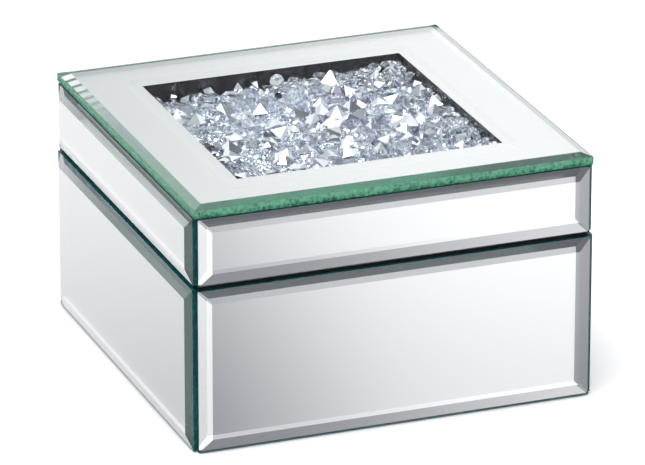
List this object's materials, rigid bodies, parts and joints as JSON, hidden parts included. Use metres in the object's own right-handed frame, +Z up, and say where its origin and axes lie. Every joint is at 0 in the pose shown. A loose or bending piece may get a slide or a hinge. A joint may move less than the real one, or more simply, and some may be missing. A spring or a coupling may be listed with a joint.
{
  "type": "mirrored trinket box",
  "caption": "Square mirrored vanity box with bevelled glass panels, a hinged lid, a window over a bed of crystals and a velvet-lined compartment.",
  "frame": {"origin": "centre of the underside felt, on the surface that the box stands on", "axes": "+Z up, -Y towards the front, +X to the right seen from the front; the lid hinges are at the back, at +Y"},
  "size_m": [0.15, 0.156, 0.09],
  "materials": {
    "silvered_glass": "silvered float glass with ground and polished bevels",
    "fibreboard": "black-painted fibreboard",
    "velvet": "black velvet over card and foam",
    "felt": "black felt",
    "foil": "gloss black plastic foil",
    "crystal": "clear and foil-backed cut glass stones",
    "steel": "nickel-plated steel"
  },
  "bodies": {
    "base": {"base_back_board": "fibreboard", "base_back_lining": "velvet", "base_back_mirror": "silvered_glass", "base_floor_board": "fibreboard", "base_floor_pad": "velvet", "base_front_board": "fibreboard", "base_front_lining": "velvet", "base_front_mirror": "silvered_glass", "base_left_board": "fibreboard", "base_left_lining": "velvet", "base_left_mirror": "silvered_glass", "base_right_board": "fibreboard", "base_right_lining": "velvet", "base_right_mirror": "silvered_glass", "base_underside_felt": "felt", "left_hinge_base_inner_screw": "steel", "left_hinge_base_leaf": "steel", "left_hinge_base_outer_screw": "steel", "left_hinge_pin": "steel", "right_hinge_base_inner_screw": "steel", "right_hinge_base_leaf": "steel", "right_hinge_base_outer_screw": "steel", "right_hinge_pin": "steel"},
    "lid": {"crystal_bed": "crystal", "left_hinge_lid_inner_screw": "steel", "left_hinge_lid_leaf": "steel", "left_hinge_lid_outer_screw": "steel", "lid_back_board": "fibreboard", "lid_back_lining": "velvet", "lid_back_mirror": "silvered_glass", "lid_back_rail": "fibreboard", "lid_front_board": "fibreboard", "lid_front_lining": "velvet", "lid_front_mirror": "silvered_glass", "lid_front_rail": "fibreboard", "lid_left_board": "fibreboard", "lid_left_lining": "velvet", "lid_left_mirror": "silvered_glass", "lid_left_rail": "fibreboard", "lid_pad": "velvet", "lid_right_board": "fibreboard", "lid_right_lining": "velvet", "lid_right_mirror": "silvered_glass", "lid_right_rail": "fibreboard", "lid_top_glass": "silvered_glass", "lid_tray_board": "fibreboard", "right_hinge_lid_inner_screw": "steel", "right_hinge_lid_leaf": "steel", "right_hinge_lid_outer_screw": "steel", "well_back_foil": "foil", "well_front_foil": "foil", "well_left_foil": "foil", "well_right_foil": "foil", "well_floor_foil": "foil"}
  },
  "joints": [
    {"name": "lid_hinge", "type": "hinge", "parent": "base", "child": "lid", "pos_m": [0, 0.077, 0.0605], "axis": [-1, 0, 0], "range_deg": [0, 100]}
  ]
}
